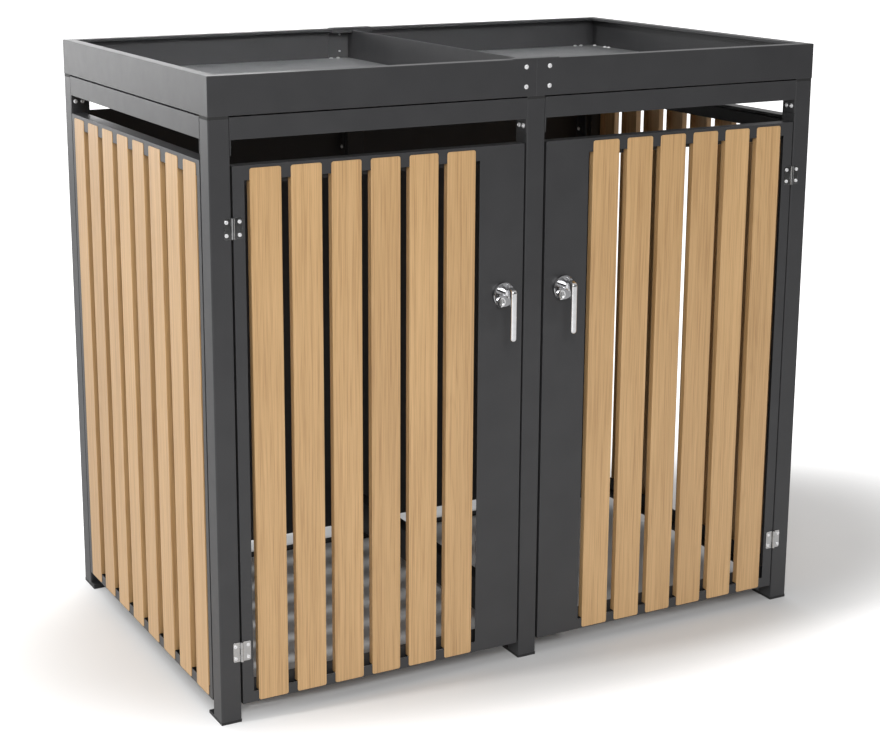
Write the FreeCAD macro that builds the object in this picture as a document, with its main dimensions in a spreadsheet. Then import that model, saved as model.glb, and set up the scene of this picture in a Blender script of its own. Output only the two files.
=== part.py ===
import FreeCAD
import Part
import Sketcher
import math
import os
import re

SIZES = {
    # Whole store, over the posts and up to the top of the tray
    "width": 1320,
    "depth": 800,
    "height": 1200,
    # Posts, their foot plates and caps
    "post": 40,
    "post_wall": 2,
    "post_round": 2.5,
    "foot_rise": 6,
    "foot_tongue": 22,
    "foot_hole": 4.5,
    "foot_hole_inset": 51,
    "cap_rise": 6,
    "cap_plug": 12,
    "cap_slack": 0.2,
    # Rails under the tray and ties between the posts
    "rail_rise": 39,
    "rail_reach": 30,
    "rail_wall": 2,
    "rail_drop": 3,
    "tab_drop": 27,
    "tie_width": 30,
    "tie_wall": 2,
    "top_tie_rise": 36,
    "bottom_tie_rise": 70,
    "bar_rise": 4,
    # Planter tray
    "tray_rise": 71,
    "tray_wall": 1.5,
    "lip": 22,
    "lip_turn": 4,
    "fold_round": 1.2,
    "tray_flange": 25,
    "floor_wall": 1.2,
    "floor_gap": 1,
    "divider_drop": 6,
    "divider_flange": 20,
    "splice_width": 98,
    "splice_grip": 10,
    # Screws of the tray, from the middle, the outer faces and the top
    "splice_screw_left": 23,
    "splice_screw_right": 28,
    "splice_screw_high": 16,
    "splice_screw_low": 53,
    "floor_screw_inset": 12,
    "floor_screw_tip": 0.5,
    "middle_screw_near": 30,
    "middle_screw_far": 47,
    "corner_screw_near": 41,
    "corner_screw_far": 58,
    "post_screw": 27,
    "side_screw_near": 71,
    "side_screw_far": 87,
    # Screws of the rail tabs and of the rear sheets, from the outer faces
    "tab_screw_near": 9,
    "tab_screw_far": 24,
    "return_screw": 12,
    # Doors and panels, folded from sheet
    "sheet_wall": 1.5,
    "panel_reach": 28,
    "panel_bottom": 34,
    "door_top_gap": 46,
    "lock_gap": 4.5,
    "hinge_gap": 3.5,
    "hinge_stile": 22,
    "lock_stile": 96,
    "door_top_rail": 26,
    "door_bottom_rail": 21,
    "side_top_gap": 38,
    "side_gap": 3,
    "side_stile": 13,
    "side_top_rail": 28,
    "rear_bottom": 23,
    "rear_return": 20,
    "rear_inset": 2,
    "spacer_rise": 40,
    "spacer_width": 18,
    # Slats, folded channels with flat tongues at both ends
    "slat_width": 60,
    "slat_wall": 1.2,
    "slat_leg": 13.2,
    "slat_corner": 4.5,
    "slat_edge": 0.8,
    "slat_foot_gap": 2,
    "slat_head_gap": 5,
    "side_head_gap": 7,
    "slat_margin": 10,
    "side_margin": 4,
    "leg_start": 20,
    "leg_stop": 22,
    "door_slats": 6,
    "side_slats": 8,
    "bar_width": 26,
    "bar_wall": 2.5,
    "low_bar_inset": 14,
    "high_bar_inset": 30,
    # Hinges
    "hinge_rise": 38,
    "leaf_wall": 1.5,
    "post_leaf_reach": 16.25,
    "door_leaf_reach": 18.5,
    "leaf_corner": 3,
    "knuckle": 3,
    "knuckle_split": 14,
    "knuckle_play": 0.3,
    "leaf_clear": 0.4,
    "pin": 1.5,
    "pin_play": 0.05,
    "high_hinge_inset": 109,
    "low_hinge_inset": 106,
    # Handles
    "handle_reach": 44,
    "handle_inset": 67.5,
    "handle_height": 755,
    "rose": 24,
    "rose_rise": 8,
    "rose_edge": 1.5,
    "rose_screw_aside": 8,
    "rose_screw_above": 17,
    "pivot_rise": 6,
    "hub": 8.5,
    "hub_front": 24,
    "turn_play": 0.3,
    "spindle": 4,
    "spindle_play": 0.05,
    "spindle_hole": 7,
    "spindle_back": 46,
    "lever_width": 12,
    "lever_wall": 9,
    "lever_drop": 90,
    "lever_edge": 3.5,
    "lever_end": 5.5,
    "neck_start": 14,
    "neck_half": 7.6,
    "elbow_rise": 14,
    "elbow_back": 12.6,
    "elbow_front": 8,
    "elbow_under": 2.8,
    "elbow_round": 7,
    "barrel_aside": 9.5,
    "barrel_below": 12.5,
    "barrel": 9.5,
    "barrel_front": 11,
    "barrel_back": 24,
    "plug": 6.5,
    "plug_recess": 1.5,
    "plug_play": 0.05,
    "keyway_width": 1.2,
    "keyway_length": 8,
    "keyway_depth": 9,
    "cam_start": 41,
    "cam_wall": 3,
    "cam_width": 22,
    "cam_reach": 62,
    # Stop strips behind the lock edges of the doors
    "stop_start": 28.5,
    "stop_wall": 2.5,
    "stop_width": 10,
    "stop_inset": 60,
    # Screws
    "head": 4.5,
    "head_rise": 2.8,
    "socket": 1.4,
    "socket_depth": 0.9,
    "shank": 2,
    "shank_length": 7,
}
document = FreeCAD.newDocument("bin_store")
sheet = document.addObject("Spreadsheet::Sheet", "Sizes")
for row, (name, value) in enumerate(SIZES.items(), 1):
    sheet.set(f"A{row}", name)
    sheet.set(f"B{row}", str(value))
    sheet.setAlias(f"B{row}", name)
document.recompute()
nodes = []

# Levels and lines that several pieces share
FRONT = "((handle_reach - depth - head_rise) / 2)"
TRAY_BASE = "(height - tray_rise)"
TRAY_TOP = "(height - tray_wall)"
FLOOR_TOP = f"({TRAY_BASE} + tray_wall + floor_wall)"
POST_TOP = f"({TRAY_BASE} - cap_rise)"
RAIL_TOP = f"({TRAY_BASE} - rail_drop)"
RAIL_BASE = f"({RAIL_TOP} - rail_rise)"
PIVOT = "(handle_height + pivot_rise)"
DOOR_NEAR = "(post / 2 + lock_gap)"
DOOR_FAR = "(width / 2 - post - hinge_gap)"
DOOR_TOP = f"({RAIL_BASE} - door_top_gap)"
SIDE_TOP = f"({RAIL_BASE} - side_top_gap)"
SLAT_BASE = "(panel_bottom + slat_foot_gap)"
DOOR_SLAT_TOP = f"({DOOR_TOP} - slat_head_gap)"
SIDE_SLAT_TOP = f"({SIDE_TOP} - side_head_gap)"
LOW_BAR = f"({SLAT_BASE} + low_bar_inset)"
DOOR_HIGH_BAR = f"({DOOR_SLAT_TOP} - high_bar_inset)"
SIDE_HIGH_BAR = f"({SIDE_SLAT_TOP} - high_bar_inset)"
LOW_HINGE = "(panel_bottom + low_hinge_inset)"
HIGH_HINGE = f"({DOOR_TOP} - high_hinge_inset)"
AXIS = "(width / 2 - post - hinge_gap / 2)"
SIDES = (("left", -1), ("right", 1))
UP = FreeCAD.Vector(0, 0, 1)
ALONG = {
    "x": FreeCAD.Rotation(UP, FreeCAD.Vector(1, 0, 0)),
    "-x": FreeCAD.Rotation(UP, FreeCAD.Vector(-1, 0, 0)),
    "y": FreeCAD.Rotation(UP, FreeCAD.Vector(0, 1, 0)),
    "-y": FreeCAD.Rotation(UP, FreeCAD.Vector(0, -1, 0)),
    "z": FreeCAD.Rotation(),
}


def formula(text):
    return re.sub(r"[a-z_]+", lambda word: "Sizes." + word[0] if word[0] in SIZES else word[0], str(text))


# Heights are from the ground, depths from the front face, widths from the middle
def place(item, x, y, z, turn=None):
    if turn is not None:
        item.Placement = FreeCAD.Placement(FreeCAD.Vector(), turn)
    item.setExpression("Placement.Base.x", formula(x))
    item.setExpression("Placement.Base.y", formula(f"{FRONT} + {y}"))
    item.setExpression("Placement.Base.z", formula(z))
    return item


def mirror(side, inner, outer):
    return (inner, outer) if side > 0 else (f"-({outer})", f"-({inner})")


def box(x, y, z):
    item = document.addObject("Part::Box", "Block")
    item.setExpression("Length", formula(f"({x[1]}) - ({x[0]})"))
    item.setExpression("Width", formula(f"({y[1]}) - ({y[0]})"))
    item.setExpression("Height", formula(f"({z[1]}) - ({z[0]})"))
    return place(item, x[0], f"({y[0]})", z[0])


def rod(x, y, z, radius, length, along):
    item = document.addObject("Part::Cylinder", "Rod")
    item.setExpression("Radius", formula(radius))
    item.setExpression("Height", formula(length))
    return place(item, x, f"({y})", z, ALONG[along])


def join(*items):
    item = document.addObject("Part::MultiFuse", "Join")
    item.Shapes = list(items)
    item.Refine = True
    return item


def cut(base, *tools):
    item = document.addObject("Part::Cut", "Cut")
    item.Base = base
    item.Tool = tools[0] if len(tools) == 1 else join(*tools)
    return item


def group(items):
    item = document.addObject("Part::Compound", "Group")
    item.Links = list(items)
    return item


def node(label, item):
    item.Label = label
    nodes.append(item)
    return item


def sketch(body, plane, loops):
    item = body.newObject("Sketcher::SketchObject", "Outline")
    base = next(f for f in body.Origin.OriginFeatures if f.Role == plane + "_Plane")
    item.AttachmentSupport = [(base, "")]
    item.MapMode = "FlatFace"
    for loop in loops:
        first = item.GeometryCount
        if isinstance(loop, tuple):
            item.addGeometry(Part.Circle(FreeCAD.Vector(1, 1, 0), UP, 1), False)
            bound = [("DistanceX", -1, 1, first, 3, loop[0]), ("DistanceY", -1, 1, first, 3, loop[1])]
            bound.append(("Radius", first, loop[2]))
        else:
            count = len(loop)
            turns = [2 * math.pi * step / count for step in range(count)]
            spots = [FreeCAD.Vector(9 * math.cos(turn), 9 * math.sin(turn), 0) for turn in turns]
            for step in range(count):
                item.addGeometry(Part.LineSegment(spots[step], spots[(step + 1) % count]), False)
            for step in range(count):
                line, following = first + step, first + (step + 1) % count
                item.addConstraint(Sketcher.Constraint("Coincident", line, 2, following, 1))
            bound = []
            for step, (along, up) in enumerate(loop):
                bound.append(("DistanceX", -1, 1, first + step, 1, along))
                bound.append(("DistanceY", -1, 1, first + step, 1, up))
        for entry in bound:
            index = item.addConstraint(Sketcher.Constraint(*entry[:-1], 1.0))
            item.setExpression(f"Constraints[{index}]", formula(entry[-1]))
    return item


def body_of(plane, start, length, *loops):
    body = document.addObject("PartDesign::Body", "Body")
    pad = body.newObject("PartDesign::Pad", "Pad")
    pad.Profile = sketch(body, plane, loops)
    pad.setExpression("Length", formula(length))
    pad.Reversed = plane == "XZ"
    spot = {"YZ": (start, "0", "0"), "XZ": ("0", f"({start})", "0"), "XY": ("0", "0", start)}[plane]
    return place(body, *spot)


def pierce(body, plane, *loops):
    pocket = body.newObject("PartDesign::Pocket", "Opening")
    pocket.Profile = sketch(body, plane, loops)
    pocket.Type = "ThroughAll"
    pocket.Midplane = True
    return body


def near(value, *ends):
    return min(abs(value - end) for end in ends) < 0.01


# The edges to round are chosen by the middle of each and by the bounds of the whole body
def soften(body, radius, chosen):
    document.recompute()
    last = body.Tip
    whole = last.Shape.BoundBox
    edges = []
    for number, edge in enumerate(last.Shape.Edges, 1):
        if chosen(edge.BoundBox.Center, whole):
            edges.append(f"Edge{number}")
    rounding = body.newObject("PartDesign::Fillet", "Rounding")
    rounding.Base = (last, edges)
    rounding.setExpression("Radius", formula(radius))
    return body


def rectangle(x0, x1, z0, z1):
    return [(x0, z0), (x1, z0), (x1, z1), (x0, z1)]


def turned(x, y, z, along, outline):
    body = document.addObject("PartDesign::Body", "Turned")
    turning = body.newObject("PartDesign::Revolution", "Turning")
    turning.Profile = sketch(body, "XZ", [outline])
    turning.ReferenceAxis = (turning.Profile[0], ["V_Axis"])
    return place(body, x, f"({y})", z, ALONG[along])


def screw(x, y, z, along, length="shank_length"):
    outline = [
        ("0", f"-({length})"),
        ("shank", f"-({length})"),
        ("shank", "0"),
        ("head", "0"),
        ("head", "head_rise * 0.4"),
        ("head * 0.6", "head_rise"),
        ("socket", "head_rise"),
        ("socket", "head_rise - socket_depth"),
        ("0", "head_rise - socket_depth"),
    ]
    return turned(x, y, z, along, outline)


def upright_corner(middle, whole):
    return near(middle.x, whole.XMin, whole.XMax) and near(middle.y, whole.YMin, whole.YMax)


# Posts of square tube, each on a foot plate whose tongue takes a ground fixing, with a cap in its top
feet = []
caps = []
for row in ("front", "rear"):
    face = "0" if row == "front" else "depth - post"
    hole = "foot_hole_inset" if row == "front" else "depth - foot_hole_inset"
    tongue = ("0", "post + foot_tongue") if row == "front" else ("depth - post - foot_tongue", "depth")
    for column, edge in (("left", "-width / 2"), ("centre", "-post / 2"), ("right", "width / 2 - post")):
        outer = rectangle(edge, f"{edge} + post", face, f"{face} + post")
        inside = (f"{edge} + post_wall", f"{edge} + post - post_wall")
        behind = (f"{face} + post_wall", f"{face} + post - post_wall")
        tube = body_of("XY", "foot_rise", f"{POST_TOP} - foot_rise", outer, rectangle(*inside, *behind))
        node(f"post_{row}_{column}", soften(tube, "post_round", upright_corner))
        plate = box((edge, f"{edge} + post"), tongue, ("0", "foot_rise"))
        feet.append(cut(plate, rod(f"{edge} + post / 2", hole, "0", "foot_hole", "foot_rise", "z")))
        lid = soften(body_of("XY", POST_TOP, "cap_rise", outer), "post_round", upright_corner)
        plug = box(
            (f"{inside[0]} + cap_slack", f"{inside[1]} - cap_slack"),
            (f"{behind[0]} + cap_slack", f"{behind[1]} - cap_slack"),
            (f"{POST_TOP} - cap_plug", POST_TOP),
        )
        caps.append(join(lid, plug))
node("foot_plates", group(feet))
node("post_caps", group(caps))


# Rails under the tray, channels open to the inside, with a tab folded down at each end
def channel(out, inward):
    back = f"{out} {inward} rail_wall"
    tip = f"{out} {inward} rail_reach"
    return [
        (out, RAIL_BASE),
        (tip, RAIL_BASE),
        (tip, f"{RAIL_BASE} + rail_wall"),
        (back, f"{RAIL_BASE} + rail_wall"),
        (back, f"{RAIL_TOP} - rail_wall"),
        (tip, f"{RAIL_TOP} - rail_wall"),
        (tip, RAIL_TOP),
        (out, RAIL_TOP),
    ]


TAB = (f"{RAIL_BASE} - tab_drop", RAIL_TOP)
for row, out, inward in (("front", "0", "+"), ("rear", "depth", "-")):
    reach = ("0", "rail_reach") if row == "front" else ("depth - rail_reach", "depth")
    for side, sign in SIDES:
        start, stop = mirror(sign, "post / 2", "width / 2 - post")
        rail = body_of("YZ", start, f"({stop}) - ({start})", channel(out, inward))
        ends = ((start, f"{start} + rail_wall"), (f"{stop} - rail_wall", stop))
        tabs = [box(end, reach, TAB) for end in ends]
        node(f"{row}_rail_{side}", join(rail, *tabs))
for side, sign in SIDES:
    out, inward = ("-width / 2", "+") if sign < 0 else ("width / 2", "-")
    rail = body_of("XZ", "post", "depth - post * 2", channel(out, inward))
    reach = mirror(sign, "width / 2 - rail_reach", "width / 2")
    ends = (("post", "post + rail_wall"), ("depth - post - rail_wall", "depth - post"))
    node(f"side_rail_{side}", join(rail, *[box(reach, end, TAB) for end in ends]))

# Ties from the front centre post to the rear one, and the flat tie across the rear feet
FLOOR_BASE = f"({TRAY_BASE} + tray_wall)"
for label, low, high in (
    ("centre_top_tie", f"{FLOOR_BASE} - top_tie_rise", FLOOR_BASE),
    ("centre_bottom_tie", "panel_bottom", "panel_bottom + bottom_tie_rise"),
):
    outer = rectangle("-tie_width / 2", "tie_width / 2", low, high)
    inside = ("-tie_width / 2 + tie_wall", "tie_width / 2 - tie_wall")
    bore = rectangle(*inside, f"{low} + tie_wall", f"{high} - tie_wall")
    node(label, body_of("XZ", "post", "depth - post * 2", outer, bore))
flat = box(
    ("-width / 2", "width / 2"),
    ("depth - post - foot_tongue", "depth - post"),
    ("foot_rise", "foot_rise + bar_rise"),
)
holes = []
for x in ("-width / 2 + post / 2", "0", "width / 2 - post / 2"):
    holes.append(rod(x, "depth - foot_hole_inset", "foot_rise", "foot_hole", "bar_rise", "z"))
node("rear_bottom_tie", cut(flat, *holes))

# Rear sheets, folded forward at both edges and fixed between the rear posts
for side, sign in SIDES:
    start, stop = mirror(sign, "post / 2", "width / 2 - post")
    back = "depth - rear_inset"
    outline = [
        (start, back),
        (stop, back),
        (stop, f"{back} - rear_return"),
        (f"{stop} - sheet_wall", f"{back} - rear_return"),
        (f"{stop} - sheet_wall", f"{back} - sheet_wall"),
        (f"{start} + sheet_wall", f"{back} - sheet_wall"),
        (f"{start} + sheet_wall", f"{back} - rear_return"),
        (start, f"{back} - rear_return"),
    ]
    node(f"rear_panel_{side}", body_of("XY", "rear_bottom", f"{SIDE_TOP} - rear_bottom", outline))


def tongue_corner(middle, whole):
    return near(middle.x, whole.XMin, whole.XMax) and near(middle.z, whole.ZMin, whole.ZMax)


# Slats, channels whose side legs stop short of the flat rounded tongues
def slat(x, y, turn, top):
    half = "slat_width / 2"
    outline = [
        (f"-{half}", "0"),
        (half, "0"),
        (half, "slat_leg"),
        (f"{half} - slat_wall", "slat_leg"),
        (f"{half} - slat_wall", "slat_wall"),
        (f"-{half} + slat_wall", "slat_wall"),
        (f"-{half} + slat_wall", "slat_leg"),
        (f"-{half}", "slat_leg"),
    ]
    length = f"({top} - {SLAT_BASE})"
    body = body_of("XY", "0", length, outline)
    low = rectangle("slat_wall", "slat_leg * 2", "-1", "leg_start")
    high = rectangle("slat_wall", "slat_leg * 2", f"{length} - leg_stop", f"{length} + 1")
    pierce(body, "YZ", low, high)
    soften(body, "slat_corner", tongue_corner)
    soften(body, "slat_edge", lambda middle, whole: near(middle.y, whole.YMin))
    return place(body, x, f"({y})", SLAT_BASE, FreeCAD.Rotation(UP, turn))


# Side panels, folded pans with a tall window, slats lying on their face and held by bars behind
side_bars = []
spacers = []
for side, sign in SIDES:
    ends = ("post + side_gap", "depth - post - side_gap")
    inner_ends = (f"{ends[0]} + sheet_wall", f"{ends[1]} - sheet_wall")
    pan = box(mirror(sign, "width / 2 - panel_reach", "width / 2"), ends, ("panel_bottom", SIDE_TOP))
    hollow = box(
        mirror(sign, "width / 2 - panel_reach - 1", "width / 2 - sheet_wall"),
        inner_ends,
        ("panel_bottom + sheet_wall", f"{SIDE_TOP} - sheet_wall"),
    )
    window = box(
        mirror(sign, "width / 2 - panel_reach", "width / 2 + 1"),
        (f"{ends[0]} + side_stile", f"{ends[1]} - side_stile"),
        ("panel_bottom + door_bottom_rail", f"{SIDE_TOP} - side_top_rail"),
    )
    node(f"side_panel_{side}", cut(pan, hollow, window))
    covers = []
    window_edge = f"({ends[0]} + side_stile + side_margin)"
    pitch = f"((depth - 2 * {window_edge} - slat_width) / (side_slats - 1))"
    for step in range(int(sheet.side_slats)):
        middle = f"{window_edge} + slat_width / 2 + {step} * {pitch}"
        covers.append(slat(f"{sign} * (width / 2 + slat_wall)", middle, 90 * sign, SIDE_SLAT_TOP))
    node(f"side_slats_{side}", group(covers))
    for start in (LOW_BAR, SIDE_HIGH_BAR):
        face = "width / 2 + slat_wall - slat_leg"
        behind = mirror(sign, f"{face} - bar_wall", face)
        side_bars.append(box(behind, inner_ends, (start, f"{start} + bar_width")))
    for start, stop in (("post", "post + side_gap"), ("depth - post - side_gap", "depth - post")):
        for centre in (LOW_HINGE, HIGH_HINGE):
            across = mirror(sign, "width / 2 - panel_reach", "width / 2 - panel_reach + spacer_width")
            tall = (f"{centre} - spacer_rise / 2", f"{centre} + spacer_rise / 2")
            spacers.append(box(across, (start, stop), tall))
node("side_slat_bars", group(side_bars))
node("panel_spacers", group(spacers))


# Planter tray, folded walls mitred at the corners, in two halves along front and rear
def wall(out, inward):
    def at(distance):
        return f"{out} {inward} ({distance})"

    return [
        (at("0"), TRAY_BASE),
        (at("tray_flange"), TRAY_BASE),
        (at("tray_flange"), f"{TRAY_BASE} + tray_wall"),
        (at("tray_wall"), f"{TRAY_BASE} + tray_wall"),
        (at("tray_wall"), f"{TRAY_TOP} - tray_wall"),
        (at("lip - tray_wall"), f"{TRAY_TOP} - tray_wall"),
        (at("lip - tray_wall"), f"{TRAY_TOP} - tray_wall - lip_turn"),
        (at("lip"), f"{TRAY_TOP} - tray_wall - lip_turn"),
        (at("lip"), TRAY_TOP),
        (at("0"), TRAY_TOP),
    ]


def long_fold(middle, whole):
    return near(middle.y, whole.YMin, whole.YMax) and near(middle.z, whole.ZMax)


def side_fold(middle, whole):
    return near(middle.x, whole.XMin, whole.XMax) and near(middle.z, whole.ZMax)


def corner(x, y, x_inward, y_inward, kept):
    inner = f"{y} {y_inward} tray_flange"
    across = f"{x} {x_inward} tray_flange"
    far = (x, inner) if kept == "front" else (across, y)
    return [(x, y), (across, inner), far]


for row, out, inward in (("front", "0", "+"), ("rear", "depth", "-")):
    for side, sign in SIDES:
        start, stop = mirror(sign, "0", "width / 2")
        half = soften(body_of("YZ", start, "width / 2", wall(out, inward)), "fold_round", long_fold)
        edge, step = ("0", "+") if sign < 0 else ("width / 2", "-")
        node(f"tray_{row}_{side}", pierce(half, "XY", corner(edge, out, step, inward, "front")))
for side, sign in SIDES:
    out, inward = ("-width / 2", "+") if sign < 0 else ("width / 2", "-")
    long_wall = soften(body_of("XZ", "0", "depth", wall(out, inward)), "fold_round", side_fold)
    mitres = [corner(out, "0", inward, "+", "side"), corner(out, "depth", inward, "-", "side")]
    node(f"tray_side_{side}", pierce(long_wall, "XY", *mitres))
    across = mirror(sign, "floor_gap / 2", "width / 2 - tray_wall")
    node(f"tray_floor_{side}", box(across, ("tray_wall", "depth - tray_wall"), (FLOOR_BASE, FLOOR_TOP)))

# Divider on the floors, notched at the ends to pass under the splices of the lip
GRIP_BASE = f"({TRAY_TOP} - splice_grip)"
NOTCH = "(lip + tray_wall * 2)"
WEB_TOP = "(height - divider_drop)"
outline = [
    ("tray_wall * 2", FLOOR_TOP),
    ("depth - tray_wall * 2", FLOOR_TOP),
    ("depth - tray_wall * 2", f"{GRIP_BASE} - tray_wall"),
    (f"depth - {NOTCH}", f"{GRIP_BASE} - tray_wall"),
    (f"depth - {NOTCH}", WEB_TOP),
    (NOTCH, WEB_TOP),
    (NOTCH, f"{GRIP_BASE} - tray_wall"),
    ("tray_wall * 2", f"{GRIP_BASE} - tray_wall"),
]
web = body_of("YZ", "-tray_wall / 2", "tray_wall", outline)
flange = box(
    ("tray_wall / 2", "divider_flange"),
    ("tray_flange", "depth - tray_flange"),
    (FLOOR_TOP, f"{FLOOR_TOP} + tray_wall"),
)
node("tray_divider", join(web, flange))

# Splices, folded round the lip over the joint of the two halves and down behind the wall
for row, out, inward in (("front", "0", "+"), ("rear", "depth", "-")):
    beyond = f"{out} {inward} (lip + tray_wall)"
    end = f"{out} {inward} lip"
    inner = f"{out} {inward} (tray_wall * 2)"
    touch = f"{out} {inward} tray_wall"
    outline = [
        (out, TRAY_TOP),
        (out, "height"),
        (beyond, "height"),
        (beyond, GRIP_BASE),
        (inner, GRIP_BASE),
        (inner, f"{FLOOR_TOP} + tray_wall"),
        (touch, f"{FLOOR_TOP} + tray_wall"),
        (touch, f"{GRIP_BASE} + tray_wall"),
        (end, f"{GRIP_BASE} + tray_wall"),
        (end, TRAY_TOP),
    ]
    splice = body_of("YZ", "-splice_width / 2", "splice_width", outline)
    node(f"tray_{row}_splice", soften(splice, "fold_round", long_fold))

# Screws of the tray, through the splices and down into the flanges
fixings = []
for x in ("-splice_screw_left", "splice_screw_right"):
    for z in ("height - splice_screw_high", "height - splice_screw_low"):
        fixings.append(screw(x, "0", z, "-y"))
        fixings.append(screw(x, "depth", z, "y"))
THROUGH_FLOOR = "floor_wall + tray_wall + floor_screw_tip"
CORNER_SCREWS = ("width / 2 - corner_screw_near", "width / 2 - corner_screw_far")
for side, sign in SIDES:
    for x in ("middle_screw_near", "middle_screw_far") + CORNER_SCREWS:
        for y in ("floor_screw_inset", "depth - floor_screw_inset"):
            fixings.append(screw(f"{sign} * ({x})", y, FLOOR_TOP, "z", THROUGH_FLOOR))
    row = f"{sign} * (width / 2 - floor_screw_inset)"
    for y in ("post_screw", "depth - post_screw"):
        fixings.append(screw(row, y, FLOOR_TOP, "z"))
    for inset in ("side_screw_near", "side_screw_far"):
        fixings.append(screw(row, inset, FLOOR_TOP, "z", THROUGH_FLOOR))
        fixings.append(screw(row, f"depth - {inset}", FLOOR_TOP, "z", THROUGH_FLOOR))
node("tray_screws", group(fixings))

# Screws of the frame, through the rail tabs, the panel returns and the ties into the posts
fixings = []
LOW_SCREW = f"{RAIL_BASE} - tab_drop / 2"
for side, sign in SIDES:
    for x, along in (("post / 2 + rail_wall", sign), ("width / 2 - post - rail_wall", -sign)):
        for y in ("tab_screw_near", "tab_screw_far", "depth - tab_screw_far", "depth - tab_screw_near"):
            fixings.append(screw(f"{sign} * ({x})", y, LOW_SCREW, "x" if along > 0 else "-x"))
    for x in ("width / 2 - tab_screw_near", "width / 2 - tab_screw_far"):
        fixings.append(screw(f"{sign} * ({x})", "post + rail_wall", LOW_SCREW, "y"))
        fixings.append(screw(f"{sign} * ({x})", "depth - post - rail_wall", LOW_SCREW, "-y"))
    for x, along in (("post / 2 + sheet_wall", sign), ("width / 2 - post - sheet_wall", -sign)):
        for z in (LOW_HINGE, HIGH_HINGE):
            heading = "x" if along > 0 else "-x"
            fixings.append(screw(f"{sign} * ({x})", "depth - return_screw", z, heading))
node("frame_screws", group(fixings))

# Stop strips on the centre post, just behind the folded lock edges of the doors
strips = []
for side, sign in SIDES:
    across = mirror(sign, "post / 2", "post / 2 + stop_width")
    tall = ("panel_bottom + stop_inset", f"{DOOR_TOP} - stop_inset")
    strips.append(box(across, ("stop_start", "stop_start + stop_wall"), tall))
node("door_stops", group(strips))

# Hinge leaves have two rounded corners, on the edge away from the knuckle
def flap(across, tall, far):
    plate = body_of("XZ", "-leaf_wall", "leaf_wall", rectangle(*across, *tall))

    def far_corner(middle, whole):
        return tongue_corner(middle, whole) and near(middle.x, getattr(whole, far))

    return soften(plate, "leaf_corner", far_corner)


# Hinges, the middle knuckle on the door leaf between two knuckles on the post leaf
post_leaves = []
pins = []
for side, sign in SIDES:
    axis = f"({sign} * {AXIS})"
    outside, inside = ("XMin", "XMax") if sign < 0 else ("XMax", "XMin")
    door_leaves = []
    for centre in (LOW_HINGE, HIGH_HINGE):
        base, top = f"({centre} - hinge_rise / 2)", f"({centre} + hinge_rise / 2)"
        clear = "knuckle + leaf_clear"
        low = (base, f"{centre} - knuckle_split / 2")
        high = (f"{centre} + knuckle_split / 2", top)
        middle = (f"{low[1]} + knuckle_play", f"{high[0]} - knuckle_play")
        skin = ("-leaf_wall", "0")
        bore = rod(axis, "-knuckle", base, "pin + pin_play", "hinge_rise", "z")
        outward = mirror(sign, f"{AXIS} + {clear}", f"{AXIS} + post_leaf_reach")
        bridge = mirror(sign, AXIS, f"{AXIS} + {clear}")
        leaf = [flap(outward, (base, top), outside), box(bridge, skin, low), box(bridge, skin, high)]
        for bottom, upper in (low, high):
            leaf.append(rod(axis, "-knuckle", bottom, "knuckle", f"({upper}) - ({bottom})", "z"))
        post_leaves.append(cut(join(*leaf), bore))
        inward = mirror(sign, f"{AXIS} - door_leaf_reach", f"{AXIS} - ({clear})")
        bridge = mirror(sign, f"{AXIS} - ({clear})", AXIS)
        leaf = [flap(inward, (base, top), inside), box(bridge, skin, middle)]
        leaf.append(rod(axis, "-knuckle", middle[0], "knuckle", f"({middle[1]}) - ({middle[0]})", "z"))
        bore = rod(axis, "-knuckle", base, "pin + pin_play", "hinge_rise", "z")
        door_leaves.append(cut(join(*leaf), bore))
        pins.append(rod(axis, "-knuckle", base, "pin", "hinge_rise", "z"))
    node(f"hinge_{side}_door_leaves", group(door_leaves))
node("hinge_post_leaves", group(post_leaves))
node("hinge_pins", group(pins))


def elbow_edge(middle, whole):
    high = middle.z > whole.ZMax - SIZES["elbow_rise"] * 2
    return high and near(middle.x, whole.Center.x) and not near(middle.y, whole.YMax)


def lever_side(middle, whole):
    return near(middle.x, whole.XMin, whole.XMax) and not near(middle.y, whole.YMax)


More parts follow.
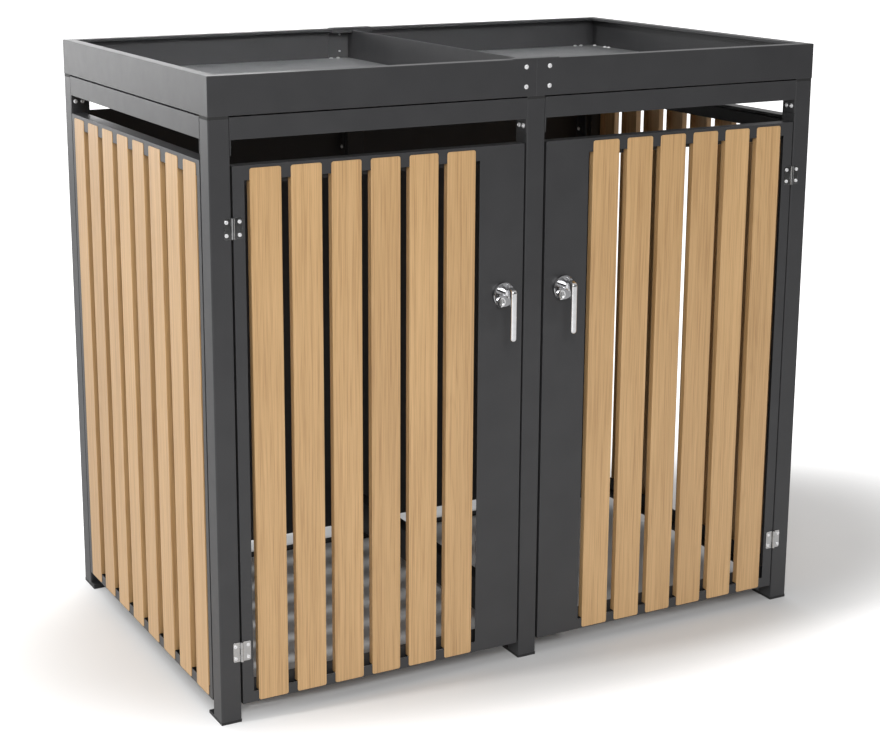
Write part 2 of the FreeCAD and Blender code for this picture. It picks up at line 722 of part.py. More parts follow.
# Doors, folded pans with a window, their slats and the bars that hold the slats
for side, sign in SIDES:
    across = mirror(sign, DOOR_NEAR, DOOR_FAR)
    inside = mirror(sign, f"{DOOR_NEAR} + sheet_wall", f"{DOOR_FAR} - sheet_wall")
    handle = f"({sign} * handle_inset)"
    pan = box(across, ("0", "panel_reach"), ("panel_bottom", DOOR_TOP))
    tall = ("panel_bottom + sheet_wall", f"{DOOR_TOP} - sheet_wall")
    hollow = box(inside, ("sheet_wall", "panel_reach + 1"), tall)
    tall = ("panel_bottom + door_bottom_rail", f"{DOOR_TOP} - door_top_rail")
    window_ends = (f"({DOOR_NEAR} + lock_stile)", f"({DOOR_FAR} - hinge_stile)")
    window = box(mirror(sign, *window_ends), ("-1", "panel_reach"), tall)
    lock = (f"{handle} - barrel_aside", "handle_height - barrel_below")
    holes = [
        rod(handle, "-1", PIVOT, "spindle_hole", "sheet_wall + 2", "y"),
        rod(lock[0], "-1", lock[1], "barrel", "sheet_wall + 2", "y"),
    ]
    node(f"door_{side}_panel", cut(pan, hollow, window, *holes))
    covers = []
    first = f"({window_ends[1]} - slat_margin - slat_width / 2)"
    last = f"({window_ends[0]} + slat_margin + slat_width / 2)"
    for step in range(int(sheet.door_slats)):
        middle = f"{sign} * ({first} - {step} * ({first} - {last}) / (door_slats - 1))"
        covers.append(slat(middle, "-slat_wall", 0, DOOR_SLAT_TOP))
    node(f"door_{side}_slats", group(covers))
    behind = ("slat_leg - slat_wall", "slat_leg - slat_wall + bar_wall")
    bars = [box(inside, behind, (start, f"{start} + bar_width")) for start in (LOW_BAR, DOOR_HIGH_BAR)]
    node(f"door_{side}_slat_bars", group(bars))

    # Handle: rose with its screw, lock barrel with its key plug, lever on a spindle, and the cam behind
    outline = [
        ("0", "0"),
        ("rose", "0"),
        ("rose", "rose_rise - rose_edge"),
        ("rose - rose_edge", "rose_rise"),
        ("0", "rose_rise"),
    ]
    rose = turned(handle, "0", "handle_height", "-y", outline)
    spot = (f"{handle} + rose_screw_aside", "handle_height + rose_screw_above")
    screw_hole = rod(spot[0], "-rose_rise", spot[1], "shank", "shank_length", "y")
    sleeve = rod(handle, "-rose_rise", PIVOT, "spindle + spindle_play", "rose_rise", "y")
    seat = rod(lock[0], "-rose_rise", lock[1], "barrel", "rose_rise", "y")
    rose_screw = screw(spot[0], "-rose_rise", spot[1], "-y")
    node(f"handle_{side}_base", group([cut(rose, sleeve, seat, screw_hole), rose_screw]))
    barrel = rod(lock[0], "-barrel_front", lock[1], "barrel", "barrel_front + barrel_back", "y")
    bore = rod(lock[0], "-barrel_front", lock[1], "plug + plug_play", "barrel_front + barrel_back", "y")
    node(f"handle_{side}_barrel", cut(barrel, bore))
    plug_start = "plug_recess - barrel_front"
    plug = rod(lock[0], plug_start, lock[1], "plug", f"barrel_back - ({plug_start})", "y")
    slot = box(
        (f"{lock[0]} - keyway_width / 2", f"{lock[0]} + keyway_width / 2"),
        (plug_start, f"{plug_start} + keyway_depth"),
        (f"{lock[1]} - keyway_length / 2", f"{lock[1]} + keyway_length / 2"),
    )
    node(f"handle_{side}_key_plug", cut(plug, slot))
    arm = [
        ("-neck_start", f"{PIVOT} + neck_half"),
        ("elbow_back - handle_reach", f"{PIVOT} + elbow_rise"),
        ("-handle_reach", f"{PIVOT} + elbow_front"),
        ("-handle_reach", f"{PIVOT} - lever_drop"),
        ("lever_wall - handle_reach", f"{PIVOT} - lever_drop"),
        ("lever_wall - handle_reach", f"{PIVOT} - elbow_under"),
        ("-neck_start", f"{PIVOT} - neck_half"),
    ]
    lever = body_of("YZ", f"{handle} - lever_width / 2", "lever_width", arm)
    soften(lever, "elbow_round", elbow_edge)
    soften(lever, "lever_end", tongue_corner)
    soften(lever, "lever_edge", lever_side)
    hub = rod(handle, "-hub_front", PIVOT, "hub", "hub_front - rose_rise - turn_play", "y")
    spindle = rod(handle, "-hub_front", PIVOT, "spindle", "hub_front + spindle_back", "y")
    node(f"handle_{side}_lever", join(lever, hub, spindle))
    cam = box(
        (f"{handle} - cam_width / 2", f"{handle} + cam_width / 2"),
        ("cam_start", "cam_start + cam_wall"),
        (f"{PIVOT} - cam_width / 2", f"{PIVOT} + cam_reach"),
    )
    node(f"handle_{side}_cam", cut(cam, rod(handle, "cam_start", PIVOT, "spindle", "cam_wall", "y")))

document.recompute()
os.makedirs("parts", exist_ok=True)
for item in nodes:
    if item.Shape.isNull() or not item.Shape.isValid() or {"Invalid", "Error"} & set(item.State):
        raise SystemExit(f"{item.Label} could not be made")
for item in nodes:
    item.Shape.exportStep(os.path.join("parts", item.Label + ".step"))
print(len(nodes), "pieces written")
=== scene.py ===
import math

import bpy
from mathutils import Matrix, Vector


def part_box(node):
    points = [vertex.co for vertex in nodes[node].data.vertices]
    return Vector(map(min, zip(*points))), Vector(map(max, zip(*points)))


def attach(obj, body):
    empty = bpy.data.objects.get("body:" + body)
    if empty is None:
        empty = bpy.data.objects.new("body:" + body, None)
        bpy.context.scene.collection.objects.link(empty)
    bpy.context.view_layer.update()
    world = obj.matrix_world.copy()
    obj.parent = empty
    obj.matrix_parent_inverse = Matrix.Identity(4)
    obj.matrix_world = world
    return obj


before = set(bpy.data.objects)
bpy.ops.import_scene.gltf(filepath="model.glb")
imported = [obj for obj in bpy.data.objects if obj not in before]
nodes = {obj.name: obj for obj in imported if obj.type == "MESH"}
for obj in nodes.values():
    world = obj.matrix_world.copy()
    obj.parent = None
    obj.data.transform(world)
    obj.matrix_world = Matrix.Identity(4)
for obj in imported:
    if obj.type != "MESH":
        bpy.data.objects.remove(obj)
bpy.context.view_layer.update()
bpy.ops.object.select_all(action="DESELECT")

# The frame is square steel tube and folded rails, screwed together and powder coated in anthracite.
# The coat has a fine dry grain and turns round every edge of the metal, where a painted highlight
# lightens it to a paler line.
ANTHRACITE = (0.036, 0.036, 0.038, 1.0)
ANTHRACITE_PALE = (0.042, 0.042, 0.044, 1.0)
ANTHRACITE_GLOSS = (0.36, 0.44)
ANTHRACITE_GRAIN = 1400.0
COAT_CLOUDS = 14.0
COAT_GLOSS_CLOUDS = 40.0
CLOUD_DETAIL = 3.0
CLOUD_LOW = 0.3
CLOUD_HIGH = 0.7
GRAIN_DETAIL = 1.0
GRAIN_STRENGTH = 0.1
GRAIN_HEIGHT = 0.0002
EDGE_ROUND = 0.0009
# How much the painted edge highlight lightens the colour.
EDGE_HIGHLIGHT_LIFT = 3.0
EDGE_FULL = 0.8
EDGE_NONE = 0.98


def new_material(name):
    material = bpy.data.materials.new(name)
    material.use_nodes = True
    shader = material.node_tree.nodes["Principled BSDF"]
    return material, material.node_tree, shader


def grey(level):
    return (level, level, level, 1.0)


def place_of(tree):
    return tree.nodes.new("ShaderNodeTexCoord").outputs["Object"]


def noise(tree, vector, scale, detail=2.0, roughness=0.5):
    texture = tree.nodes.new("ShaderNodeTexNoise")
    texture.inputs["Scale"].default_value = scale
    texture.inputs["Detail"].default_value = detail
    texture.inputs["Roughness"].default_value = roughness
    tree.links.new(vector, texture.inputs["Vector"])
    return texture.outputs["Fac"]


def ramp(tree, value, *stops):
    colours = tree.nodes.new("ShaderNodeValToRGB")
    elements = colours.color_ramp.elements
    while len(elements) < len(stops):
        elements.new(0.5)
    for element, (position, colour) in zip(elements, stops):
        element.position = position
        element.color = colour
    tree.links.new(value, colours.inputs["Fac"])
    return colours.outputs["Color"]


def span(tree, value, low, high, start=0.0, end=1.0):
    limits = tree.nodes.new("ShaderNodeMapRange")
    limits.inputs["From Min"].default_value = start
    limits.inputs["From Max"].default_value = end
    limits.inputs["To Min"].default_value = low
    limits.inputs["To Max"].default_value = high
    tree.links.new(value, limits.inputs["Value"])
    return limits.outputs["Result"]


def relief(tree, shader, height, strength, distance, edge):
    rounding = tree.nodes.new("ShaderNodeBevel")
    rounding.inputs["Radius"].default_value = edge
    bump = tree.nodes.new("ShaderNodeBump")
    bump.inputs["Strength"].default_value = strength
    bump.inputs["Distance"].default_value = distance
    tree.links.new(rounding.outputs["Normal"], bump.inputs["Normal"])
    tree.links.new(height, bump.inputs["Height"])
    tree.links.new(bump.outputs["Normal"], shader.inputs["Normal"])


def tinted(tree, colour, tone):
    mix = tree.nodes.new("ShaderNodeMix")
    mix.data_type = "RGBA"
    mix.blend_type = "MULTIPLY"
    mix.inputs[0].default_value = 1.0
    tree.links.new(colour, mix.inputs[6])
    tree.links.new(tone, mix.inputs[7])
    return mix.outputs[2]


# Painted highlight: near each edge the base colour is lightened by the given factor, so edges show as
# paler lines.
def edge_highlight_tone(tree, edge, lift):
    rounding = tree.nodes.new("ShaderNodeBevel")
    rounding.inputs["Radius"].default_value = edge
    turned = tree.nodes.new("ShaderNodeVectorMath")
    turned.operation = "DOT_PRODUCT"
    tree.links.new(rounding.outputs["Normal"], turned.inputs[0])
    tree.links.new(tree.nodes.new("ShaderNodeNewGeometry").outputs["True Normal"], turned.inputs[1])
    return ramp(tree, turned.outputs["Value"], (EDGE_FULL, grey(lift)), (EDGE_NONE, grey(1.0)))


def powder_coat(name, dark, pale, gloss, grain):
    material, tree, shader = new_material(name)
    spot = place_of(tree)
    clouds = noise(tree, spot, COAT_CLOUDS, CLOUD_DETAIL)
    clouds = ramp(tree, clouds, (CLOUD_LOW, dark), (CLOUD_HIGH, pale))
    # Painted highlight: the coat's colour is lightened along every edge.
    colour = tinted(tree, clouds, edge_highlight_tone(tree, EDGE_ROUND, EDGE_HIGHLIGHT_LIFT))
    tree.links.new(colour, shader.inputs["Base Color"])
    dullness = span(tree, noise(tree, spot, COAT_GLOSS_CLOUDS), *gloss)
    tree.links.new(dullness, shader.inputs["Roughness"])
    bumps = noise(tree, spot, grain, GRAIN_DETAIL)
    relief(tree, shader, bumps, GRAIN_STRENGTH, GRAIN_HEIGHT, EDGE_ROUND)
    return material


def dress(material, *names):
    for name in names:
        for place in nodes[name].material_slots:
            place.material = material


SIDES = ("left", "right")
ROWS = ("front", "rear", "side")
POST_ROWS = ("front", "rear")
POST_COLUMNS = ("left", "centre", "right")
anthracite = powder_coat(
    "anthracite powder coat", ANTHRACITE, ANTHRACITE_PALE, ANTHRACITE_GLOSS, ANTHRACITE_GRAIN
)
dress(anthracite, *[f"post_{row}_{column}" for row in POST_ROWS for column in POST_COLUMNS])
dress(anthracite, *[f"{row}_rail_{side}" for row in ROWS for side in SIDES])

# Foot plates, ties and slat bars are cut steel with a thin matt black coat, and the post caps, the
# spacers beside the panels and the stop strips of the doors are moulded black plastic.
MATT_BLACK = (0.012, 0.012, 0.013, 1.0)
MATT_BLACK_PALE = (0.018, 0.018, 0.019, 1.0)
MATT_GLOSS = (0.5, 0.6)
MATT_GRAIN = 900.0
PLASTIC = grey(0.011)
PLASTIC_PALE = grey(0.016)
PLASTIC_GLOSS = (0.6, 0.7)
PLASTIC_GRAIN = 600.0
matt_black = powder_coat("matt black coat", MATT_BLACK, MATT_BLACK_PALE, MATT_GLOSS, MATT_GRAIN)
black_plastic = powder_coat("black plastic", PLASTIC, PLASTIC_PALE, PLASTIC_GLOSS, PLASTIC_GRAIN)
dress(matt_black, "foot_plates", "centre_top_tie", "centre_bottom_tie", "rear_bottom_tie")
dress(matt_black, "side_slat_bars", "door_left_slat_bars", "door_right_slat_bars")
dress(black_plastic, "post_caps", "panel_spacers", "door_stops")

# The doors and the side panels are steel pans with a tall window, and the rear sheets are plain ones.
# All are folded at their edges and have the frame's coat. The doors hang on hinges at the outer posts,
# and the others are fixed between the posts.
dress(anthracite, "door_left_panel", "door_right_panel", "side_panel_left", "side_panel_right")
dress(anthracite, "rear_panel_left", "rear_panel_right")

# The slats are folded aluminium channels with a printed oak coat, held over the windows by bars behind.
# Growth rings run along each slat as fine lines that arch here and there, crossed by short dark pores,
# and each slat has its own tone.
OAK_PALE = (0.68, 0.43, 0.2, 1.0)
OAK_MIDDLE = (0.6, 0.37, 0.162, 1.0)
OAK_DARK = (0.47, 0.265, 0.105, 1.0)
OAK_TONES = (0.36, 0.47, 0.6)
OAK_GLOSS = (0.38, 0.5)
OAK_SHINE = 1.0
DOOR_PITCH = 0.0788
LEFT_DOOR_START = -0.9746
RIGHT_DOOR_START = -0.2596
SIDE_PITCH = 0.08857
LEFT_SIDE_START = -0.9949
RIGHT_SIDE_START = 0.3275
SLAT_EDGE = 0.0007
# How much the painted edge highlight lightens the oak.
SLAT_EDGE_HIGHLIGHT_LIFT = 1.3
SLAT_MIDDLE = 0.55
RING_WIDTH = 0.0058
RING_DEPTH = 0.04
RING_SHARPNESS = 3.0
RING_LEAST = 0.5
RING_MOST = 1.0
HEART_ASIDE = 0.07
HEART_LEAN = 0.05
HEART_NEAR = 0.01
HEART_FAR = 0.05
BEND_STRETCH = (9.0, 2.2, 5.1)
BEND_REACH = 0.03
PORE_STRETCH = (700.0, 7.0, 7.3)
PORE_DETAIL = (3.0, 0.6)
PORE_SHARE = 0.65
PORE_STRENGTH = 0.12
PORE_HEIGHT = 0.0003
STREAK_STRETCH = (140.0, 1.8, 3.7)
STREAK_DETAIL = (4.0, 0.55)
STREAK_SHARE = 0.35
BROAD_STRETCH = (12.0, 1.3, 11.9)
BROAD_DARK = (0.88, 0.86, 0.83, 1.0)
DARKEST_SLAT = (0.96, 0.95, 0.94, 1.0)
PALEST_SLAT = grey(1.02)
ASIDE_DRAW = 3.3
LEAN_DRAW = 9.1
NEAR_DRAW = 5.7
TONE_DRAW = 1.7


def maths(tree, kind, *values):
    node = tree.nodes.new("ShaderNodeMath")
    node.operation = kind
    for socket, value in zip(node.inputs, values):
        if isinstance(value, float):
            socket.default_value = value
        else:
            tree.links.new(value, socket)
    return node.outputs["Value"]


def oak_coat(name, pitch, start):
    material, tree, shader = new_material(name)
    parts = tree.nodes.new("ShaderNodeSeparateXYZ")
    tree.links.new(place_of(tree), parts.inputs["Vector"])
    along = parts.outputs["Z"]
    across = maths(tree, "ADD", parts.outputs["X"], parts.outputs["Y"])
    count = maths(tree, "DIVIDE", maths(tree, "SUBTRACT", across, start), pitch)
    slat = maths(tree, "FLOOR", count)
    inside = maths(tree, "MULTIPLY", maths(tree, "SUBTRACT", maths(tree, "FRACT", count), 0.5), pitch)

    def chance(shift):
        pick = tree.nodes.new("ShaderNodeTexWhiteNoise")
        pick.noise_dimensions = "1D"
        tree.links.new(maths(tree, "ADD", slat, shift), pick.inputs["W"])
        return pick.outputs["Value"]

    def stretched(wide, tall, shift):
        joined = tree.nodes.new("ShaderNodeCombineXYZ")
        tree.links.new(maths(tree, "MULTIPLY", across, wide), joined.inputs["X"])
        tree.links.new(maths(tree, "MULTIPLY", along, tall), joined.inputs["Y"])
        tree.links.new(maths(tree, "MULTIPLY", slat, shift), joined.inputs["Z"])
        return joined.outputs["Vector"]

    aside = span(tree, chance(ASIDE_DRAW), -HEART_ASIDE, HEART_ASIDE)
    lean = span(tree, chance(LEAN_DRAW), -HEART_LEAN, HEART_LEAN)
    rise = maths(tree, "MULTIPLY", maths(tree, "SUBTRACT", along, SLAT_MIDDLE), lean)
    depth = maths(tree, "ADD", span(tree, chance(NEAR_DRAW), HEART_NEAR, HEART_FAR), rise)
    bend = maths(tree, "MULTIPLY", noise(tree, stretched(*BEND_STRETCH), 1.0), BEND_REACH)
    reach = maths(tree, "SUBTRACT", inside, aside)
    reach_squared = maths(tree, "MULTIPLY", reach, reach)
    squares = maths(tree, "ADD", reach_squared, maths(tree, "MULTIPLY", depth, depth))
    radius = maths(tree, "ADD", maths(tree, "SQRT", squares), bend)
    turn = maths(tree, "SINE", maths(tree, "MULTIPLY", radius, 2 * math.pi / RING_WIDTH))
    swell = span(tree, turn, RING_LEAST, RING_MOST)
    ring = maths(tree, "POWER", swell, RING_SHARPNESS)
    fine = noise(tree, stretched(*PORE_STRETCH), 1.0, *PORE_DETAIL)
    streak = noise(tree, stretched(*STREAK_STRETCH), 1.0, *STREAK_DETAIL)
    broad = noise(tree, stretched(*BROAD_STRETCH), 1.0)
    streaks = maths(tree, "MULTIPLY", streak, STREAK_SHARE)
    tone = maths(tree, "ADD", streaks, maths(tree, "MULTIPLY", fine, PORE_SHARE))
    tone = maths(tree, "SUBTRACT", tone, maths(tree, "MULTIPLY", ring, RING_DEPTH))
    colour = ramp(tree, tone, *zip(OAK_TONES, (OAK_DARK, OAK_MIDDLE, OAK_PALE)))
    broad_tone = ramp(tree, broad, (CLOUD_LOW, BROAD_DARK), (CLOUD_HIGH, grey(1.0)))
    slat_tone = ramp(tree, chance(TONE_DRAW), (0.0, DARKEST_SLAT), (1.0, PALEST_SLAT))
    colour = tinted(tree, tinted(tree, colour, broad_tone), slat_tone)
    # Painted highlight: the oak's colour is lightened along the slats' edges.
    colour = tinted(tree, colour, edge_highlight_tone(tree, SLAT_EDGE, SLAT_EDGE_HIGHLIGHT_LIFT))
    tree.links.new(colour, shader.inputs["Base Color"])
    tree.links.new(span(tree, fine, *OAK_GLOSS), shader.inputs["Roughness"])
    shader.inputs["Specular IOR Level"].default_value = OAK_SHINE
    relief(tree, shader, fine, PORE_STRENGTH, PORE_HEIGHT, SLAT_EDGE)
    return material


dress(oak_coat("oak coat left door", DOOR_PITCH, LEFT_DOOR_START), "door_left_slats")
dress(oak_coat("oak coat right door", DOOR_PITCH, RIGHT_DOOR_START), "door_right_slats")
dress(oak_coat("oak coat left side", SIDE_PITCH, LEFT_SIDE_START), "side_slats_left")
dress(oak_coat("oak coat right side", SIDE_PITCH, RIGHT_SIDE_START), "side_slats_right")

# The planter tray is steel sheet in the anthracite coat, folded over into a lip and screwed together in
# two halves through splices, with a divider between them. Its floor is two plain sheets, a tone paler.
FLOOR_SHEET = (0.145, 0.149, 0.153, 1.0)
FLOOR_SHEET_PALE = (0.165, 0.169, 0.173, 1.0)
FLOOR_SHEET_GLOSS = (0.4, 0.5)
FLOOR_SHEET_GRAIN = 900.0
floor_coat = powder_coat(
    "floor sheet coat", FLOOR_SHEET, FLOOR_SHEET_PALE, FLOOR_SHEET_GLOSS, FLOOR_SHEET_GRAIN
)
dress(anthracite, *[f"tray_{row}_{side}" for row in ROWS for side in SIDES])
dress(anthracite, "tray_divider", "tray_front_splice", "tray_rear_splice")
dress(floor_coat, "tray_floor_left", "tray_floor_right")

# The hinges are pressed from brushed stainless steel, with the knuckles rolled round a steel pin. One
# leaf of each lies on the outer post and the other on the door.
STAINLESS = grey(0.55)
STAINLESS_GLOSS = (0.1, 0.18)
BRUSHED_LEVEL = (60.0, 60.0, 2500.0)
METAL_DULL = 0.9
METAL_EDGE = 0.0004
MARK_DETAIL = 3.0
MARK_LOW = 0.35
MARK_HIGH = 0.65
MARK_STRENGTH = 0.05
MARK_HEIGHT = 0.0001


def metal(name, colour, gloss, stretch, bare=1.0):
    material, tree, shader = new_material(name)
    shader.inputs["Metallic"].default_value = bare
    mapping = tree.nodes.new("ShaderNodeMapping")
    mapping.inputs["Scale"].default_value = stretch
    tree.links.new(place_of(tree), mapping.inputs["Vector"])
    marks = noise(tree, mapping.outputs["Vector"], 1.0, MARK_DETAIL)
    dull = tuple(channel * METAL_DULL for channel in colour[:3]) + (1.0,)
    tone = ramp(tree, marks, (MARK_LOW, dull), (MARK_HIGH, colour))
    tree.links.new(tone, shader.inputs["Base Color"])
    tree.links.new(span(tree, marks, *gloss), shader.inputs["Roughness"])
    relief(tree, shader, marks, MARK_STRENGTH, MARK_HEIGHT, METAL_EDGE)
    return material


stainless = metal("brushed stainless steel", STAINLESS, STAINLESS_GLOSS, BRUSHED_LEVEL)
dress(stainless, "hinge_post_leaves", "hinge_left_door_leaves", "hinge_right_door_leaves", "hinge_pins")

# All screws are pressed from steel and plated with bright zinc. Those of the hinges are small, with a
# rounded pan head and a crossed slot, and a pair of them holds each leaf.
ZINC = (0.93, 0.93, 0.94, 1.0)
ZINC_GLOSS = (0.2, 0.32)
ZINC_SPECKS = (300.0, 300.0, 300.0)
ZINC_BARE = 0.35
SCREW_RADIUS = 0.0035
SCREW_RISE = 0.0016
SCREW_ROUND = 0.0008
SCREW_FACETS = 32
ROUND_STEPS = 4
FACING_UP = 0.9
SLOT_LENGTH = 0.0042
SLOT_WIDTH = 0.0009
SLOT_DEPTH = 0.0009
SLOT_TURN = 20.0
SMOOTH_UP_TO = 35.0
SCREW_SPREAD = 0.0118
POST_SCREW_OUT = 0.6303
DOOR_SCREW_OUT = 0.6053
LEAF_WALL = 0.0015
HALF_HINGE = 0.019
zinc = metal("bright zinc", ZINC, ZINC_GLOSS, ZINC_SPECKS, ZINC_BARE)
dress(zinc, "tray_screws", "frame_screws")

bpy.ops.mesh.primitive_cylinder_add(vertices=SCREW_FACETS, radius=SCREW_RADIUS, depth=SCREW_RISE)
head = bpy.context.object
head.name = "hinge_screw"
bpy.ops.object.mode_set(mode="EDIT")
bpy.ops.mesh.select_all(action="DESELECT")
bpy.ops.object.mode_set(mode="OBJECT")
for polygon in head.data.polygons:
    polygon.select = polygon.normal.z > FACING_UP
bpy.ops.object.mode_set(mode="EDIT")
bpy.ops.mesh.bevel(offset=SCREW_ROUND, segments=ROUND_STEPS, affect="EDGES")
bpy.ops.object.mode_set(mode="OBJECT")
for turn in (0.0, math.pi / 2):
    bpy.ops.mesh.primitive_cube_add(size=1.0, location=(0, 0, SCREW_RISE / 2), rotation=(0, 0, turn))
    cutter = bpy.context.object
    cutter.scale = (SLOT_LENGTH, SLOT_WIDTH, SLOT_DEPTH * 2)
    groove = head.modifiers.new("groove", "BOOLEAN")
    groove.object = cutter
    groove.operation = "DIFFERENCE"
    groove.solver = "EXACT"
    bpy.context.view_layer.objects.active = head
    bpy.ops.object.modifier_apply(modifier=groove.name)
    bpy.data.objects.remove(cutter)
bpy.ops.object.select_all(action="DESELECT")
head.select_set(True)
bpy.context.view_layer.objects.active = head
head.rotation_euler = (math.pi / 2, math.radians(SLOT_TURN), 0)
bpy.ops.object.transform_apply(location=True, rotation=True, scale=True)
bpy.ops.object.shade_smooth_by_angle(angle=math.radians(SMOOTH_UP_TO))
head.data.materials.append(zinc)


def hinge_screw(name, body, x, y, z):
    bpy.ops.object.select_all(action="DESELECT")
    head.select_set(True)
    bpy.context.view_layer.objects.active = head
    bpy.ops.object.duplicate()
    screw = bpy.context.object
    screw.name = name
    screw.location = (x, y, z)
    bpy.ops.object.transform_apply(location=True, rotation=False, scale=False)
    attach(screw, body)


for side, sign in zip(SIDES, (-1, 1)):
    door_low, door_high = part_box(f"hinge_{side}_door_leaves")
    y = door_high[1] - LEAF_WALL - SCREW_RISE / 2
    for level, middle in (("low", door_low[2] + HALF_HINGE), ("high", door_high[2] - HALF_HINGE)):
        for end, z in (("under", middle - SCREW_SPREAD), ("over", middle + SCREW_SPREAD)):
            spot = f"{side}_{level}_{end}"
            hinge_screw(f"hinge_screw_post_{spot}", "frame", sign * POST_SCREW_OUT, y, z)
            hinge_screw(f"hinge_screw_door_{spot}", f"{side}_door", sign * DOOR_SCREW_OUT, y, z)
bpy.data.objects.remove(head)

# The handles are cast and chromed: a lever that hangs from a round rose, with a lock barrel beside it.
# The rose and the barrel are screwed to the door's lock edge. The barrel holds a steel key plug, and
# the lever turns a zinc cam behind the door.
CHROME = (0.85, 0.85, 0.86, 1.0)
CHROME_GLOSS = (0.04, 0.1)
DARKER_CHROME = (0.4, 0.4, 0.41, 1.0)
DARKER_CHROME_GLOSS = (0.05, 0.12)
CHROME_CLOUDS = (90.0, 90.0, 90.0)
chrome = metal("polished chrome", CHROME, CHROME_GLOSS, CHROME_CLOUDS)
# The rose gets a darker copy of the chrome than the lever and the barrel.
darker_chrome = metal("darker chrome", DARKER_CHROME, DARKER_CHROME_GLOSS, CHROME_CLOUDS)
for side in SIDES:
    dress(darker_chrome, f"handle_{side}_base")
    dress(chrome, f"handle_{side}_lever", f"handle_{side}_barrel")
    dress(stainless, f"handle_{side}_key_plug")
    dress(zinc, f"handle_{side}_cam")

# The ground is one wide sheet of pale matt paper, which the store stands on. Outside a long oval round
# the store a painted glow, seen only by the camera, brightens it to white, and far in front its colour
# is painted dark for all that the metal mirrors.
PAPER_SPREAD = 40.0
PAPER_CLOUDS = 3.0
PAPER_GREY = grey(0.7)
PAPER_PALE = grey(0.72)
PAPER_MATT = 0.9
PAPER_SHINE = 0.2
# Where the painted glow starts and where it reaches full strength.
PAPER_GLOW_FROM = 0.9
PAPER_GLOW_TO = 1.6
PAPER_GLOW = 0.9
PAPER_SHADE_CENTRE = (0.2, 0.0, 0.0)
PAPER_SHADE_SIZE = (1.0, 0.5, 1.0)
# Where the painted shade in front of the store begins and where it is full.
DARK_FROM = -3.3
DARK_TO = -4.3
bpy.ops.mesh.primitive_plane_add(size=PAPER_SPREAD, location=(0, 0, 0))
ground = bpy.context.object
ground.name = "studio_floor"
paper, tree, shader = new_material("pale paper floor")
tint = noise(tree, place_of(tree), PAPER_CLOUDS)
tint = ramp(tree, tint, (CLOUD_LOW, PAPER_GREY), (CLOUD_HIGH, PAPER_PALE))
in_front = tree.nodes.new("ShaderNodeSeparateXYZ")
tree.links.new(place_of(tree), in_front.inputs["Vector"])
# Painted shade: far in front the paper's colour is darkened for every ray but the camera's, so the
# metal mirrors a dark floor there.
painted_dark_front = span(tree, in_front.outputs["Y"], 0.0, 1.0, DARK_FROM, DARK_TO)
looked_at = tree.nodes.new("ShaderNodeLightPath").outputs["Is Camera Ray"]
painted_dark_reflected = maths(tree, "MULTIPLY", painted_dark_front, maths(tree, "SUBTRACT", 1.0, looked_at))
tree.links.new(tinted(tree, tint, maths(tree, "SUBTRACT", 1.0, painted_dark_reflected)), shader.inputs["Base Color"])
shader.inputs["Roughness"].default_value = PAPER_MATT
shader.inputs["Specular IOR Level"].default_value = PAPER_SHINE
round_store = tree.nodes.new("ShaderNodeMapping")
round_store.vector_type = "TEXTURE"
round_store.inputs["Location"].default_value = PAPER_SHADE_CENTRE
round_store.inputs["Scale"].default_value = PAPER_SHADE_SIZE
tree.links.new(place_of(tree), round_store.inputs["Vector"])
away = tree.nodes.new("ShaderNodeVectorMath")
away.operation = "LENGTH"
tree.links.new(round_store.outputs["Vector"], away.inputs[0])
# Painted glow: camera rays see the paper brighten to white outside the oval round the store.
painted_glow = span(tree, away.outputs["Value"], 0.0, PAPER_GLOW, PAPER_GLOW_FROM, PAPER_GLOW_TO)
painted_glow.node.interpolation_type = "SMOOTHSTEP"
shader.inputs["Emission Color"].default_value = grey(1.0)
tree.links.new(maths(tree, "MULTIPLY", painted_glow, looked_at), shader.inputs["Emission Strength"])
ground.data.materials.append(paper)

# The studio is a white room, bright behind the store and overhead, and dim behind the camera. Soft
# panels light the store from the front, the left rear and the back, a small lamp high on the left
# throws its shadow to the right, and a narrow strip lights the inner wall of the tray.
WHITE_BEHIND = 0.6
DIM_IN_FRONT = 0.13
MORE_OVERHEAD = 0.3
DIM_FROM = -0.7
WHITE_FROM = 0.3
STRIP_SPREAD = 14.0
world = bpy.data.worlds.new("white studio")
bpy.context.scene.world = world
world.use_nodes = True
tree = world.node_tree
sky = tree.nodes["Background"]
sky.inputs["Color"].default_value = grey(1.0)
parts = tree.nodes.new("ShaderNodeSeparateXYZ")
tree.links.new(tree.nodes.new("ShaderNodeTexCoord").outputs["Generated"], parts.inputs["Vector"])
fade = span(tree, parts.outputs["Y"], DIM_IN_FRONT, WHITE_BEHIND, DIM_FROM, WHITE_FROM)
overhead = maths(tree, "MULTIPLY", maths(tree, "MAXIMUM", parts.outputs["Z"], 0.0), MORE_OVERHEAD)
glow = maths(tree, "ADD", fade, overhead)
seen = tree.nodes.new("ShaderNodeLightPath").outputs["Is Camera Ray"]
tree.links.new(maths(tree, "MAXIMUM", seen, glow), sky.inputs["Strength"])
bpy.context.scene.view_settings.view_transform = "Standard"


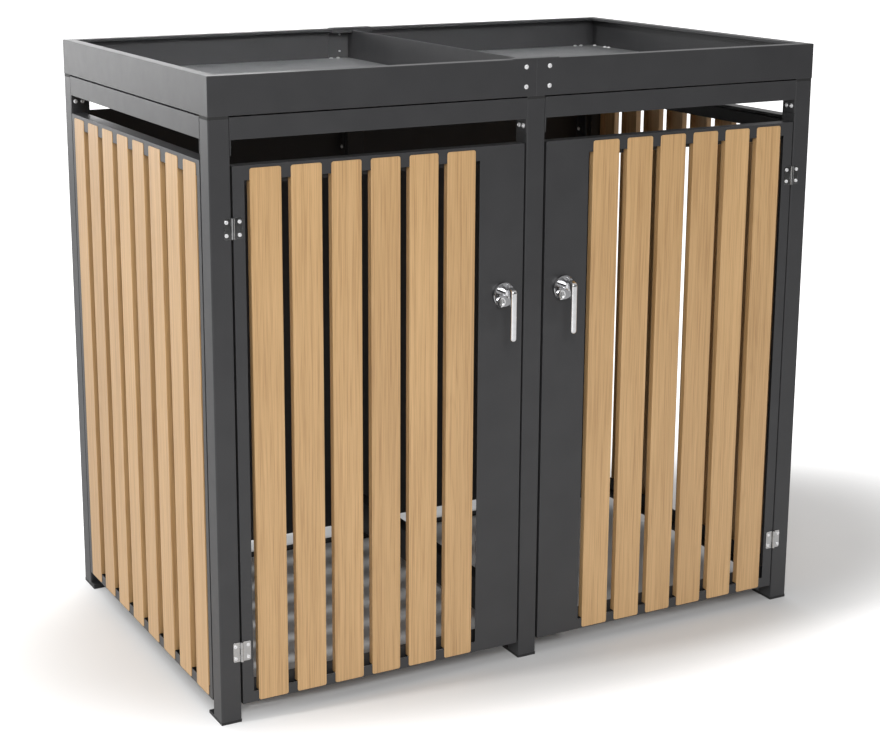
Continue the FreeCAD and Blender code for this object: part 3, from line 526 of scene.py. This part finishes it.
def studio_light(name, place, target, width, height, power):
    lamp = bpy.data.lights.new(name, "AREA")
    lamp.shape = "RECTANGLE"
    lamp.size = width
    lamp.size_y = height
    lamp.energy = power
    holder = bpy.data.objects.new(name, lamp)
    bpy.context.scene.collection.objects.link(holder)
    holder.location = place
    holder.rotation_euler = (Vector(target) - Vector(place)).to_track_quat("-Z", "Y").to_euler()
    holder.visible_camera = False
    return lamp


studio_light("left_lamp", (-4.6, 0.05, 4.9), (0, 0, 0.5), width=0.3, height=0.3, power=118.0)
studio_light("left_rear_panel", (-2.5, 4.0, 1.5), (-0.66, 0.4, 1.0), width=2.2, height=2.0, power=46.0)
studio_light("front_panel", (-1.6, -4.6, 3.2), (0, 0, 0.5), width=3.0, height=2.2, power=164.0)
studio_light("rear_panel", (0.9, 5.0, 1.9), (-0.4, 0, 1.2), width=2.0, height=1.2, power=22.0)
strip = studio_light("tray_strip", (0, -2.0, 2.4), (0, 0.3, 1.16), width=1.2, height=0.2, power=0.9)
strip.spread = math.radians(STRIP_SPREAD)

# The camera stands in front of the store, to its left and above its top, and looks down to the right.
# Its lens is counted in pixels of the picture, and its shift in widths of the picture.
CAMERA_PLACE = (-1.7896, -3.2235, 1.5294)
CAMERA_PITCH = 13.1962
CAMERA_YAW = 27.6918
FOCAL_PIXELS = 1792.5
FRAME_WIDTH = 880.0
SENSOR = 36.0
SHIFT_RIGHT = 0.05
SHIFT_DOWN = 0.09
FARTHEST_SEEN = 100.0
camera = bpy.data.objects.new("camera", bpy.data.cameras.new("camera"))
bpy.context.scene.collection.objects.link(camera)
bpy.context.scene.camera = camera
camera.location = CAMERA_PLACE
camera.rotation_euler = (math.radians(90 - CAMERA_PITCH), 0, math.radians(-CAMERA_YAW))
camera.data.sensor_width = SENSOR
camera.data.lens = SENSOR * FOCAL_PIXELS / FRAME_WIDTH
camera.data.shift_x = SHIFT_RIGHT
camera.data.shift_y = -SHIFT_DOWN
camera.data.clip_end = FARTHEST_SEEN
